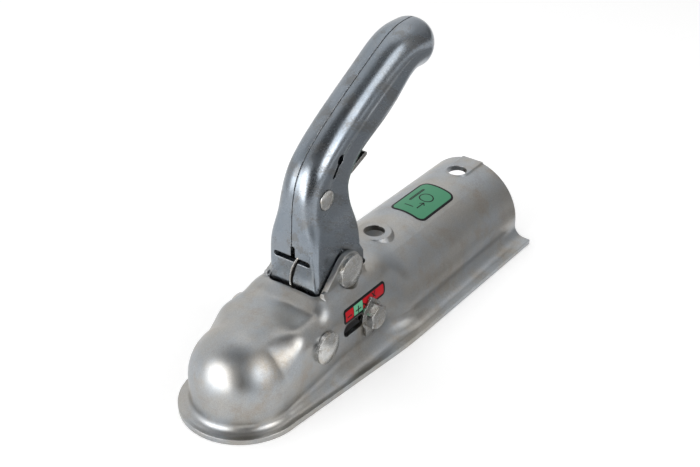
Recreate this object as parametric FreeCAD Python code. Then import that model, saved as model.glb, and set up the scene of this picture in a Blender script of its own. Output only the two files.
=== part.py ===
import FreeCAD, Part
import os
from math import acos, atan2, cos, hypot, pi, radians, sin, sqrt, tan

# Trailer coupling head, pressed from sheet steel, for a 50 mm ball.
# Origin at the centre of the ball, +X forward to the nose, +Z up, millimetres.
# The handle stands in its open position, as the head is shown.

V = FreeCAD.Vector

# Ball, dome and sheet
ball_r = 25.0
socket_clearance = 0.4
sheet = 3.0
skirt_depth = 18.1           # ball centre down to the underside of the flange
nose_lip = 6.4               # flange width around the nose
nose_foot_r = 4.5            # hollow between skirt and flange at the nose
dome_crown_deg = 30.0
dome_shoulder_r = 27.0       # curve of the dome's sides, tighter than the ball's

# Rear half-tube that is bolted over the drawbar
rear_x = -227.0
drawbar_r = 30.0
drawbar_gap = 1.0
tube_top = 28.9
tube_start_x = -112.0
tube_foot_r = 7.0
tube_flange_deg = 4.0
rear_flange_half = 45.2
flange_knee_x = -92.0        # where the flange stops widening
flange_knee_half = 43.8
flange_knee_r = 300.0
bolt_hole_r = 6.25
bolt_spacing = 90.0
bolt_from_rear = 19.0
rear_pad_half = 7.0          # flattened pads around the two bolt holes
front_pad_half = 10.0
pad_rise = 0.15
pad_slope_deg = 45.0

# Block between dome and tube
plateau_x = -16.0
plateau_blend = 0.8          # how soon the dome gives way to the block: 0 late, 1 at once
plateau_end_x = -33.0
plateau_top = 27.3
plateau_fall = 0.2
plateau_shoulder_r = 10.5
plateau_foot_r = 6.65
plateau_end_foot_r = 8.1
lip_x = -41.5
block_top = 32.0
block_end_x = -88.0
block_half = 29.0
block_shoulder_r = 14.0
block_foot_r = 9.5
crown_deg = 4.0
section_steps = 32

# Opening for the handle and the two ears beside it
opening_half = 17.0
opening_corner_r = 4.0
pivot_x = -66.0
pivot_z = 37.4
ear_r = 10.6
ear_front_x = -43.5
ear_rear_x = -80.5
ear_foot_drop = 1.0
ear_foot_r = 5.0
head_clearance = 0.3

# Slot with the wear indicator
slot_front_x = -49.3
slot_rear_x = -81.5
slot_z = 9.3
bolt_r = 4.0
slot_clearance = 0.2
open_bolt_x = -72.5
bolt_travel = 12.0
hex_across = 13.0
hex_height = 5.3
hex_chamfer = 0.6
hex_chamfer_deg = 28.0
nut_height = 8.0
bolt_end_proud = 2.5
washer_thick = 1.6
washer_r = 8.6
pointer_reach = 11.4
pointer_tip_r = 0.8
pointer_tab = 12.2
pointer_tab_half = 3.6
pointer_tab_shift = 1.8
slide_gap = 0.25
sleeve_wall = 1.95
sleeve_gap = 0.3

# Handle: front line (x, z), tilt of its face, half width, depth, front and back corner radius,
# and how far the side behind the front bead lies below the bead
handle_half = 16.2
handle_wall = 2.5
handle_foot_z = 28.0
handle_sections = [
    (-43.0, handle_foot_z, 0.0, handle_half, 41.0, 3.0, 3.0, 0.0),
    (-42.8, 40.0, 0.0, handle_half, 40.6, 3.0, 3.0, 0.0),
    (-42.6, 51.0, 0.0, handle_half, 40.0, 3.5, 3.0, 0.0),
    (-42.8, 61.0, 2.0, 15.9, 39.0, 5.0, 3.5, 0.6),
    (-43.3, 72.0, 5.0, 12.9, 37.5, 7.5, 4.0, 1.0),
    (-44.4, 84.0, 12.0, 12.2, 38.0, 9.0, 6.0, 1.0),
    (-48.5, 96.0, 28.0, 12.2, 38.0, 9.8, 8.0, 0.9),
    (-58.0, 106.5, 46.0, 12.2, 36.3, 10.0, 10.0, 0.9),
    (-74.1, 117.5, 56.0, 12.2, 31.8, 10.0, 11.0, 0.9),
    (-94.0, 129.0, 59.0, 12.2, 34.8, 10.0, 11.2, 0.9),
    (-110.0, 137.7, 61.0, 12.4, 34.2, 10.4, 11.4, 0.8),
    (-124.0, 145.2, 66.0, 13.3, 29.9, 11.0, 12.6, 0.5),
    (-136.0, 149.4, 76.0, 14.2, 29.0, 13.0, 13.9, 0.2),
    (-147.1, 149.4, 88.0, 14.4, 28.8, 14.2, 14.2, 0.0)]
relief_run = 0.4             # share of the straight side over which it steps down
handle_tip_x = -147.6
handle_tip_z = 135.1
handle_tip_r = 14.5
handle_end = [(0.384, 0.993), (0.948, 0.559), (1.0, 0.06)]     # drawn in: shares of the end's radius
tip_corner_share = 0.98
handle_turn_deg = 42.0
seam_width = 0.7
seam_depth = 0.8
cross_z = 48.9
cross_half = 12.0
cross_height = 3.2
cross_up = 7.8
cross_slot_half = 1.5
flap_gap = 2.4
flap_lean = 4.4              # sideways sweep of the gap between the two front flaps
flap_bend_z = 37.0
flap_bend_r = 10.0
lip_clearance = 1.2
back_half_low = 11.0
back_half_waist = 8.4
back_step_z = 58.0
back_slot_end = (-101.5, 96.5)
waist_back = (-83.0, 80.0)
drain_x = -65.7
drain_z = 47.8
drain_r = 1.5

# Lower cheeks of the handle, around the pivot, and the slot that drives the slider
cheek_corners = [(20.5, 2.0, 0.0), (12.0, -14.0, 6.0), (4.5, -27.0, 6.0), (2.0, -34.0, 4.0),
                 (-3.0, -38.0, 4.0), (-13.0, -38.0, 6.0), (-24.5, -30.0, 6.0), (-25.5, -20.0, 5.0),
                 (-18.6, -6.0, 4.0), (-18.4, 2.0, 0.0), (-14.8, 8.0, 0.0), (19.5, 8.0, 0.0)]

# Safety catch in the handle
catch_x = -57.2
catch_z = 81.8
catch_boss_r = 5.4
catch_half = 8.2
catch_web_half = 2.5
catch_disc_r = 11.0
catch_disc_half = 2.0
catch_gap = 0.7
catch_tab_half = 8.0
catch_tab_thick = 2.6
catch_tab_length = 15.5
catch_tab_rise_deg = 21.1
catch_tab_out = 1.5
catch_tab_up = 4.0
tab_corner_r = 1.2
catch_knee = 12.0            # bend of the catch's lever, above its tooth
catch_knee_r = 4.0
catch_tooth = 5.0
catch_arm_half = 5.0
catch_notch_deg = 113.0
catch_spring_wire_r = 0.5
catch_spring_turns = 2.0
catch_spring_room = 4.6
keyhole = (-70.1, 99.4, -64.9, 91.8)
keyhole_r = 3.0
keyhole_slot_half = 1.3

# Rivets and running fits
running_gap = 0.05
side_gap = 0.1
pivot_rivet_r = 5.0
pivot_head_r = 9.4
pivot_head_h = 4.2
bush_wall = 2.0
bush_step = 0.6              # how far the bushes reach inside the cheeks
spacer_wall = 1.6
cup_rivet_x = -33.0
cup_rivet_z = 10.3
cup_rivet_r = 5.0
cup_head_r = 9.0
cup_head_h = 4.0
catch_rivet_r = 3.0
catch_head_r = 5.4
catch_head_h = 2.6
head_crown_share = 0.4       # part of a rivet head's height that is domed

# Ball cup, built closed and then opened
cup_turn_deg = 15.0
cup_half = 19.0
cup_arm_half = 10.0
cup_boss_r = 8.0
cup_gap = 0.3
cup_corners = [(-20.0, -14.0, 0.0), (-27.0, -14.5, 3.0), (-33.0, -8.0, 4.0), (-37.0, 2.0, 4.0),
               (-39.5, 9.0, 3.0), (-34.0, 15.0, 3.0), (-22.0, 12.0, 0.0)]
cup_arm_corners = [(-33.0, 4.0, 0.0), (-38.0, -3.0, 4.0), (-52.5, 0.0, 2.5), (-52.0, 6.0, 2.5),
                   (-37.0, 15.0, 4.0), (-33.0, 15.0, 0.0)]
cup_spring_wire_r = 0.7
cup_spring_turns = 2.5
cup_spring_length = 5.8

# Slider between the cheeks
push_half = 10.5
push_corners = [(-81.0, 1.0, 2.0), (-81.0, 18.0, 2.0), (-64.0, 18.0, 3.0), (-57.0, 15.0, 2.0),
                (-56.5, 11.0, 1.0), (-66.5, 7.0, 2.0), (-66.5, 1.0, 1.0)]
spigot_r = 5.5
spigot_length = 5.0
closing_wire_r = 1.1
closing_coil_r = 7.0
closing_turns = 5.5
spring_z = 9.5
bracket_x = -100.0
bracket_low = -2.0
stud_length = 6.0

# Thin films stuck to the sheet
label_thick = 0.15
label_corner_r = 2.2
indicator_front_x = -49.6
indicator_rear_x = -87.2
indicator_low = 14.0
indicator_high = 22.9
notice_front_x = -146.0
notice_rear_x = -184.0
notice_half_deg = 21.0
notice_shift_deg = 4.4
notice_corner_r = 5.0

beyond = 60.0                # how far cutting bodies reach past what they cut

dome_r = ball_r + socket_clearance + sheet
base_z = -skirt_depth
flange_top = base_z + sheet / cos(radians(tube_flange_deg))
tube_r = drawbar_r + drawbar_gap + sheet
tube_z = tube_top - tube_r
nose_edge = dome_r + nose_lip
rear_bolt_x = rear_x + bolt_from_rear
front_bolt_x = rear_bolt_x + bolt_spacing
ear_outer = opening_half + sheet
wall_inner = block_half - sheet
slot_half = bolt_r + slot_clearance
sleeve_bore = bolt_r + running_gap
sleeve_r = sleeve_bore + sleeve_wall
cam_half = sleeve_r + 2 * sleeve_gap
washer_y = block_half + slide_gap
head_y = washer_y + washer_thick
cheek_inner = handle_half - handle_wall
bush_bore = pivot_rivet_r + running_gap
bush_r = bush_bore + bush_wall
catch_bore = catch_rivet_r + running_gap
cup_bore = cup_rivet_r + running_gap


def line(p, q):
    return Part.LineSegment(p, q).toShape()


def arc(p, middle, q):
    return Part.Arc(p, middle, q).toShape()


def cylinder_y(x, z, r, y0, y1):
    return Part.makeCylinder(r, y1 - y0, V(x, y0, z), V(0, 1, 0))


def cylinder_x(z, r, x0, x1):
    return Part.makeCylinder(r, x1 - x0, V(x0, 0, z), V(1, 0, 0))


def cylinder_z(x, r, z0, z1):
    return Part.makeCylinder(r, z1 - z0, V(x, 0, z0))


def block(x0, x1, y0, y1, z0, z1):
    return Part.makeBox(x1 - x0, y1 - y0, z1 - z0, V(x0, y0, z0))


def tube_y(x, z, outer, bore, y0, y1):
    return cylinder_y(x, z, outer, y0, y1).cut(cylinder_y(x, z, bore, y0 - 1, y1 + 1))


def mirrored(shape):
    return shape.mirror(V(0, 0, 0), V(0, 1, 0))


def both_sides(shape):
    return Part.makeCompound([shape, mirrored(shape)])


def turned(shape, x, z, deg):
    copy = shape.copy()
    copy.rotate(V(x, 0, z), V(0, 1, 0), deg)
    return copy


def rounded_wire(corners, place):
    """Closed outline through corners (a, b, radius), each rounded by an arc."""
    edges = []
    ends = []
    count = len(corners)
    for i, (a, b, r) in enumerate(corners):
        before = corners[i - 1]
        after = corners[(i + 1) % count]
        corner = V(a, b, 0)
        if r <= 0:
            ends.append((corner, corner, None))
            continue
        u = V(before[0] - a, before[1] - b, 0).normalize()
        w = V(after[0] - a, after[1] - b, 0).normalize()
        half = u.getAngle(w) / 2
        run = r / tan(half)
        middle = corner + (u + w).normalize() * (r / sin(half) - r)
        ends.append((corner + u * run, corner + w * run, middle))
    for i, (start, end, middle) in enumerate(ends):
        if middle is not None:
            edges.append(arc(place(start.x, start.y), place(middle.x, middle.y), place(end.x, end.y)))
        following = ends[(i + 1) % count][0]
        edges.append(line(place(end.x, end.y), place(following.x, following.y)))
    return Part.Wire(edges)


def plate_xz(corners, y0, y1):
    """Plate of the outline (x, z, radius), between two planes across the head."""
    wire = rounded_wire(corners, lambda a, b: V(a, y0, b))
    return Part.Face(wire).extrude(V(0, y1 - y0, 0))


def plate_xy(corners, z0, z1):
    wire = rounded_wire(corners, lambda a, b: V(a, b, z0))
    return Part.Face(wire).extrude(V(0, 0, z1 - z0))


def plate_yz(corners, x0, x1):
    wire = rounded_wire(corners, lambda a, b: V(x0, a, b))
    return Part.Face(wire).extrude(V(x1 - x0, 0, 0))


def slot_y(x0, z0, x1, z1, half, y0, y1):
    """Slot with round ends across the head, between two centres."""
    along = V(x1 - x0, 0, z1 - z0).normalize()
    side = V(-along.z, 0, along.x) * half
    first = V(x0, y0, z0)
    last = V(x1, y0, z1)
    edges = [line(first + side, last + side),
             arc(last + side, last + along * half, last - side),
             line(last - side, first - side),
             arc(first - side, first - along * half, first + side)]
    return Part.Face(Part.Wire(edges)).extrude(V(0, y1 - y0, 0))


def domed_head(x, z, y, r, h):
    """Domed rivet head that stands on the plane at y and points to +Y."""
    crown = head_crown_share * h
    ball = (r * r + crown * crown) / (2 * crown)
    return cylinder_y(x, z, r, y, y + 2 * h).common(Part.makeSphere(ball, V(x, y + h - ball, z)))


def rivet(x, z, r, seat, head_r, head_h):
    head = domed_head(x, z, seat, head_r, head_h)
    return cylinder_y(x, z, r, -seat, seat).fuse([head, mirrored(head)])


def hexagon_y(x, z, y0, y1):
    """Hexagonal prism across the head, one corner upwards."""
    corner_r = hex_across / sqrt(3)
    turns = [radians(60 * i) for i in range(6)]
    return plate_xz([(x + corner_r * sin(turn), z + corner_r * cos(turn), 0) for turn in turns], y0, y1)


def chamfered(prism, x, z, y, outward):
    """Turns the corners off a hexagon towards its free face at y."""
    depth = hex_across
    face_r = hex_across / 2 - hex_chamfer / 4
    cone = Part.makeCone(face_r + depth / tan(radians(hex_chamfer_deg)), face_r, depth,
                         V(x, y - outward * depth, z), V(0, outward, 0))
    return prism.common(cone)


def coil(radius, wire_r, turns, start, end):
    """Round wire wound from one point to another about the line between them."""
    run = end - start
    length = run.Length
    path = Part.makeHelix(length / turns, length, radius)
    section = Part.Wire(Part.makeCircle(wire_r, V(radius, 0, 0), V(0, 1, 0)))
    wound = Part.Wire(path.Edges).makePipeShell([section], True, True)
    wound.rotate(V(0, 0, 0), V(0, 0, 1).cross(run), 90)
    wound.translate(start)
    return wound


# Surfaces that run through rings of straight and round pieces

def bend(a, b, r, start, end):
    """Arc about (a, b) from one direction to another: its ends and weighted corner."""
    half = (end - start) / 2
    middle = (start + end) / 2
    far = r / cos(half)
    return [(a + r * cos(start), b + r * sin(start), 1.0),
            (a + far * cos(middle), b + far * sin(middle), cos(half)),
            (a + r * cos(end), b + r * sin(end), 1.0)]


def straight(p, q):
    return [(p[0], p[1], 1.0), ((p[0] + q[0]) / 2, (p[1] + q[1]) / 2, 1.0), (q[0], q[1], 1.0)]


def placed(ring, place):
    return [[(place(a, b), weight) for a, b, weight in piece] for piece in ring]


def edge_of(piece):
    (first, one), (corner, weight), (last, other) = piece
    if weight == 1.0:
        return line(first, last)
    return arc(first, (first + corner * (2 * weight) + last) * (1 / (2 + 2 * weight)), last)


def ring_face(ring):
    return Part.Face(Part.Wire([edge_of(piece) for piece in ring]))


def skinned(rings):
    """Solid whose surface runs smoothly along a row of rings, closed at both ends."""
    count = len(rings)
    knots = list(range(count - 2))
    repeats = [4] + [1] * (count - 4) + [4]
    faces = [ring_face(rings[0]), ring_face(rings[-1])]
    for k in range(len(rings[0])):
        poles = [[point for point, weight in ring[k]] for ring in rings]
        weights = [[weight for point, weight in ring[k]] for ring in rings]
        surface = Part.BSplineSurface()
        surface.buildFromPolesMultsKnots(poles, repeats, [3, 3], knots, [0, 1], False, False, 3, 2, weights)
        faces.append(surface.toShape())
    shell = Part.makeShell(faces)
    shell.sewShape(1e-4)
    return Part.Solid(shell)


# Housing

def key_sections():
    """Cross sections that the pressed body passes through, front to back."""
    dome = {"x": 0.0, "top": dome_r, "shoulder": dome_shoulder_r, "half": dome_r,
            "crown": dome_crown_deg, "foot": nose_foot_r, "slope": 0.0}
    plateau = {"x": plateau_x, "top": plateau_top + plateau_fall, "shoulder": plateau_shoulder_r,
               "half": block_half, "crown": crown_deg, "foot": plateau_foot_r, "slope": 0.0}
    plateau_end = dict(plateau, x=plateau_end_x, top=plateau_top, foot=plateau_end_foot_r)
    lip = dict(plateau, x=lip_x, top=block_top, shoulder=block_shoulder_r, foot=block_foot_r)
    block_end = dict(lip, x=block_end_x)
    tube = {"x": tube_start_x, "top": tube_top, "shoulder": tube_r, "half": tube_r,
            "crown": dome_crown_deg, "foot": tube_foot_r, "slope": tube_flange_deg}
    return [dome, plateau, plateau_end, lip, block_end, tube]


def section_at(x):
    """Cross section at x, eased between the key sections before and behind it."""
    keys = key_sections()
    for front, rear in zip(keys[:-1], keys[1:]):
        if rear["x"] <= x <= front["x"]:
            share = (front["x"] - x) / (front["x"] - rear["x"])
            eased = share * share * (3 - 2 * share)
            if rear["x"] == plateau_x:
                eased += plateau_blend * (share - eased)
            return {name: front[name] + (rear[name] - front[name]) * eased for name in front}
    return keys[-1]


def shoulder_centre(section):
    shoulder = section["shoulder"]
    crown = radians(section["crown"])
    across = section["half"] - shoulder
    fall = (across + shoulder * sin(crown)) * tan(crown / 2)
    return across, section["top"] - shoulder * cos(crown) - fall


def side_pieces(section, inset, reach):
    """Shoulder, wall, foot and flange of the sheet's +Y side, inset from its outside."""
    shoulder = section["shoulder"]
    foot = section["foot"]
    crown = radians(section["crown"])
    slope = radians(section["slope"])
    across, up = shoulder_centre(section)
    foot_y = section["half"] + foot
    level = flange_top + rear_flange_half * tan(slope) + foot / cos(slope)
    foot_z = level - tan(slope) * foot_y
    corner = bend(across, up, shoulder - inset, pi / 2 - crown, 0)
    hollow = bend(foot_y, foot_z, foot + inset, pi, 1.5 * pi - slope)
    tip = (reach, flange_top - inset / cos(slope) - (reach - rear_flange_half) * tan(slope))
    return [corner, straight(corner[-1], hollow[0]), hollow, straight(hollow[-1], tip)]


def hat(section, inset, reach):
    """The sheet's outline over the head, from the tip of one flange to the other."""
    crown = radians(section["crown"])
    across, up = shoulder_centre(section)
    crown_r = section["shoulder"] + across / sin(crown)
    crown_z = up + section["shoulder"] * cos(crown) - crown_r * cos(crown)
    top = bend(0, crown_z, crown_r - inset, pi / 2 + crown, pi / 2 - crown)
    right = side_pieces(section, inset, reach)
    left = [[(-a, b, weight) for a, b, weight in reversed(piece)] for piece in reversed(right)]
    return left + [top] + right


def sheet_ring(section, x, reach):
    """Closed ring around the sheet's section: outside, edge, inside, edge."""
    outside = hat(section, 0.0, reach)
    inside = [list(reversed(piece)) for piece in reversed(hat(section, sheet, reach))]
    ring = outside + [straight(outside[-1][-1], inside[0][0])]
    ring += inside + [straight(inside[-1][-1], outside[0][0])]
    return placed(ring, lambda y, z: V(x, y, z))


def pressed_body():
    """Half dome in front, body between, and half-tube behind, trimmed along the flange."""
    step = tube_start_x / section_steps
    inner_places = [step * k for k in range(1, section_steps)]
    places = [(0.0, 0.0), (step / 3, 0.0)] + [(x, x) for x in inner_places]
    places += [(tube_start_x - step / 3, tube_start_x), (tube_start_x, tube_start_x)]
    wide = rear_flange_half + sheet
    middle = skinned([sheet_ring(section_at(look), x, wide) for x, look in places])
    corners = [(0, nose_edge, 0), (0, -nose_edge, 0), (flange_knee_x, -flange_knee_half, flange_knee_r),
               (rear_x, -rear_flange_half, 0), (rear_x, rear_flange_half, 0),
               (flange_knee_x, flange_knee_half, flange_knee_r)]
    plan = plate_xy(corners, -beyond, beyond)
    profile = ring_face(sheet_ring(section_at(0.0), 0.0, nose_edge))
    half = profile.common(block(-1, 1, 0, beyond, -beyond, beyond)).Faces[0]
    nose = half.revolve(V(0, 0, 0), V(0, 0, 1), -180)
    rear = ring_face(sheet_ring(section_at(tube_start_x), tube_start_x, wide))
    rear = rear.extrude(V(rear_x - tube_start_x, 0, 0))
    return nose.fuse(middle.common(plan)).fuse(rear.common(plan))


def touch_point(x, z, side):
    """Where the line from (x, z) touches the ear's round top, in front (1) or behind (-1)."""
    away = atan2(z - pivot_z, x - pivot_x)
    turn = side * acos(ear_r / hypot(x - pivot_x, z - pivot_z))
    return pivot_x + ear_r * cos(away + turn), pivot_z + ear_r * sin(away + turn)


def ear():
    """Ear turned up beside the opening, with the hollow along its foot."""
    foot_z = block_top - ear_foot_drop
    low = block_top - sheet
    front = touch_point(ear_front_x, foot_z, 1)
    rear = touch_point(ear_rear_x, foot_z, -1)
    corners = [(ear_front_x, low, 0), (ear_front_x, foot_z, 0), (*front, 0), (*rear, 0),
               (ear_rear_x, foot_z, 0), (ear_rear_x, low, 0)]
    plate = plate_xz(corners, opening_half, ear_outer)
    plate = plate.fuse(cylinder_y(pivot_x, pivot_z, ear_r, opening_half, ear_outer))
    section = section_at(lip_x)
    across, up = shoulder_centre(section)
    reach = section["shoulder"] + ear_foot_r
    centre_y = ear_outer + ear_foot_r
    centre_z = up + sqrt(reach ** 2 - (centre_y - across) ** 2)
    turn = atan2(centre_z - up, centre_y - across)
    hollow = bend(centre_y, centre_z, ear_foot_r, pi, pi + turn)
    inside = (across + (section["shoulder"] - 1) * cos(turn), up + (section["shoulder"] - 1) * sin(turn))
    ring = [hollow, straight(hollow[-1], inside), straight(inside, (opening_half + 1, low)),
            straight((opening_half + 1, low), (opening_half + 1, centre_z)),
            straight((opening_half + 1, centre_z), hollow[0])]
    bead = ring_face(placed(ring, lambda y, z: V(ear_rear_x, y, z)))
    return plate.fuse(bead.extrude(V(ear_front_x - ear_rear_x, 0, 0)))


def pad(x, half):
    """Flattened place around a bolt hole, its edge falling off to the tube."""
    depth = sheet
    spread = depth / tan(radians(pad_slope_deg))
    top = tube_top + pad_rise
    return Part.makeCone(half + spread, half, depth, V(x, 0, top - depth))


def rear_pad():
    depth = sheet
    spread = depth / tan(radians(pad_slope_deg))
    top = tube_top + pad_rise
    corners = [(-rear_pad_half - spread, top - depth, 0), (-rear_pad_half, top, 0),
               (rear_pad_half, top, 0), (rear_pad_half + spread, top - depth, 0)]
    return pad(rear_bolt_x, rear_pad_half).fuse(plate_yz(corners, rear_x, rear_bolt_x))


def housing():
    seat = cylinder_y(pivot_x, pivot_z, pivot_head_r + head_clearance, ear_outer, beyond)
    near_ear = ear().cut(seat)
    pads = pad(front_bolt_x, front_pad_half).fuse(rear_pad())
    body = pressed_body().cut(seat).cut(mirrored(seat)).fuse([near_ear, mirrored(near_ear)]).fuse(pads)
    opening = [(lip_x, opening_half, opening_corner_r), (lip_x, -opening_half, opening_corner_r),
               (block_end_x, -opening_half, opening_corner_r), (block_end_x, opening_half, opening_corner_r)]
    slot_start = slot_rear_x + slot_half
    slot_end = slot_front_x - slot_half
    tools = [plate_xy(opening, block_top - 2 * sheet, beyond),
             slot_y(slot_start, slot_z, slot_end, slot_z, slot_half, -beyond, beyond),
             cylinder_y(cup_rivet_x, cup_rivet_z, cup_rivet_r, -beyond, beyond),
             cylinder_y(pivot_x, pivot_z, pivot_rivet_r, -beyond, beyond),
             cylinder_z(front_bolt_x, bolt_hole_r, 0, beyond),
             cylinder_z(rear_bolt_x, bolt_hole_r, 0, beyond)]
    for tool in tools:
        body = body.cut(tool)
    return body


# Handle

def side_step(start, run, half, relief):
    """Smooth step down from the bead to the handle's side, front to back."""
    middle = (start - run / 2, half - relief / 2, 1.0)
    return [[(start, half, 1.0), (start - run / 4, half, 1.0), middle],
            [middle, (start - 3 * run / 4, half - relief, 1.0), (start - run, half - relief, 1.0)]]


def grip_ring(row, inset):
    """Rounded rectangle across the handle at one of its sections, its sides stepped down."""
    x, z, tilt, half, depth, front_r, back_r, relief = row
    out = V(cos(radians(tilt)), 0, sin(radians(tilt)))
    front = V(x, 0, z) - out * inset
    width = half - inset
    deep = depth - 2 * inset
    front_r = max(front_r - inset, 0.4)
    back_r = max(back_r - inset, 0.4)
    near = width - relief
    step = side_step(-front_r, relief_run * (deep - front_r - back_r), width, relief)
    far_step = [[(s, -y, weight) for s, y, weight in reversed(piece)] for piece in reversed(step)]
    side = [*step, straight(step[-1][-1], (back_r - deep, near))]
    far_side = [straight((back_r - deep, -near), far_step[0][0]), *far_step]
    front_face = straight((0, front_r - width), (0, width - front_r))
    back_face = straight((-deep, near - back_r), (-deep, back_r - near))
    ring = [front_face, bend(-front_r, width - front_r, front_r, 0, pi / 2), *side,
            bend(back_r - deep, near - back_r, back_r, pi / 2, pi), back_face,
            bend(back_r - deep, back_r - near, back_r, pi, 1.5 * pi), *far_side,
            bend(-front_r, front_r - width, front_r, 1.5 * pi, 2 * pi)]
    return placed(ring, lambda s, y: front + out * s + V(0, y, 0))


def grip_solid(inset):
    """Solid inside the handle's outer surface, inset from it, with its round end."""
    rows = list(handle_sections)
    if inset > 0:
        rows[0] = (rows[0][0], rows[0][1] - 2, *rows[0][2:])
    rings = [grip_ring(row, inset) for row in rows]
    tip_r = handle_tip_r - inset
    for along, share in handle_end:
        size = tip_r * share
        corner_r = tip_corner_share * size
        place = (handle_tip_x - tip_r * along, handle_tip_z + size)
        rings.append(grip_ring((*place, 90.0, size, 2 * size, corner_r, corner_r, 0.0), 0))
    return skinned(rings)


def back_opening():
    """Space cut through the handle's back for the slider, the catch and its lever."""
    slope = V(back_slot_end[0] - waist_back[0], 0, back_slot_end[1] - waist_back[1]).normalize()
    across = V(-slope.z, 0, slope.x) * (2 * handle_wall)
    end = V(back_slot_end[0], 0, back_slot_end[1])
    inner = end - across
    outer = end + across
    mid_x = pivot_x - 4
    low_corners = [(mid_x, 0, 0), (mid_x, back_step_z, 0), (mid_x - 40, back_step_z, 0), (mid_x - 40, 0, 0)]
    low = plate_xz(low_corners, -back_half_low, back_half_low)
    corners = [(mid_x, back_step_z - 1, 0), (mid_x, waist_back[1], 0), (inner.x, inner.z, 3),
               (outer.x, outer.z, 0), (outer.x - 10, back_step_z - 1, 0)]
    return low.fuse(plate_xz(corners, -back_half_waist, back_half_waist))


def cheek():
    """Lower side wall around the pivot, with the slot that moves the slider."""
    corners = [(pivot_x + a, pivot_z + b, r) for a, b, r in cheek_corners]
    plate = plate_xz(corners, cheek_inner, handle_half)
    turn = radians(handle_turn_deg)
    drop = slot_z - pivot_z
    reach = open_bolt_x + bolt_travel - pivot_x
    closed = (pivot_x + reach * cos(turn) + drop * sin(turn), pivot_z - reach * sin(turn) + drop * cos(turn))
    cam = slot_y(open_bolt_x, slot_z, *closed, cam_half, 0, beyond)
    return plate.cut(cam)


def seam():
    """Narrow groove where the folded sheet meets, along the front and over the end."""
    start_z = cross_z + cross_up
    behind = handle_tip_x - beyond
    above = handle_tip_z + beyond
    corners = [(pivot_x + 4, start_z, 0), (catch_x - 6, catch_z, 0), (keyhole[0] - 2, keyhole[1] + 2, 0),
               (handle_tip_x, handle_tip_z, 0), (behind, handle_tip_z, 0), (behind, above, 0),
               (0, above, 0), (0, start_z, 0)]
    return plate_xz(corners, -seam_width / 2, seam_width / 2).cut(grip_solid(seam_depth))


def front_cuts():
    """Cross-shaped opening in the front and the leaning gap between the two flaps below it."""
    inside = handle_sections[0][0] - 2 * handle_wall
    end = cross_height / 2
    across = [(-cross_half, cross_z - end, end - 0.01), (-cross_half, cross_z + end, end - 0.01),
              (cross_half, cross_z + end, end - 0.01), (cross_half, cross_z - end, end - 0.01)]
    middle = seam_width
    upright = [(middle - cross_slot_half, cross_z, 0), (middle - cross_slot_half, cross_z + cross_up, 1.2),
               (middle + cross_slot_half, cross_z + cross_up, 1.2), (middle + cross_slot_half, cross_z, 0)]
    half = flap_gap / 2
    low = -flap_lean / 4
    high = low + flap_lean
    gap = [(high - half, cross_z + 1, 0), (low - half, flap_bend_z, flap_bend_r), (low - half, 0, 0),
           (low + half, 0, 0), (low + half, flap_bend_z - 0.5, flap_bend_r), (high + half, cross_z + 1, 0)]
    return [plate_yz(corners, inside, 0) for corners in (across, upright, gap)]


def handle_shell():
    shell = grip_solid(0).cut(grip_solid(handle_wall))
    swept_r = lip_x - lip_clearance - pivot_x
    keep = cylinder_y(pivot_x, pivot_z, swept_r, -beyond, beyond)
    keep = keep.fuse(block(handle_tip_x - beyond, 0, -beyond, beyond, pivot_z, handle_tip_z + beyond))
    shell = shell.cut(back_opening()).common(keep)
    shell = shell.fuse([cheek(), mirrored(cheek())])
    keyhole_x, keyhole_z, key_end_x, key_end_z = keyhole
    seat = cylinder_y(catch_x, catch_z, catch_head_r + head_clearance, catch_seat(), beyond)
    tools = [*front_cuts(), seat, mirrored(seat),
             cylinder_y(pivot_x, pivot_z, bush_r, -beyond, beyond),
             cylinder_y(catch_x, catch_z, catch_rivet_r, -beyond, beyond),
             cylinder_y(drain_x, drain_z, drain_r, 0, beyond),
             cylinder_y(keyhole_x, keyhole_z, keyhole_r, 0, beyond),
             slot_y(keyhole_x, keyhole_z, key_end_x, key_end_z, keyhole_slot_half, 0, beyond),
             seam()]
    for tool in tools:
        shell = shell.cut(tool)
    return shell


def pivot_bushes():
    inner = cheek_inner - bush_step
    return both_sides(tube_y(pivot_x, pivot_z, bush_r, bush_bore, inner, opening_half - side_gap))


def catch_seat():
    """Half width between the flat seats of the safety catch's rivet heads."""
    half, relief = handle_sections[5][3], handle_sections[5][7]
    return half - relief


def trigger_rivet():
    return rivet(catch_x, catch_z, catch_rivet_r, catch_seat(), catch_head_r, catch_head_h)


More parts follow.
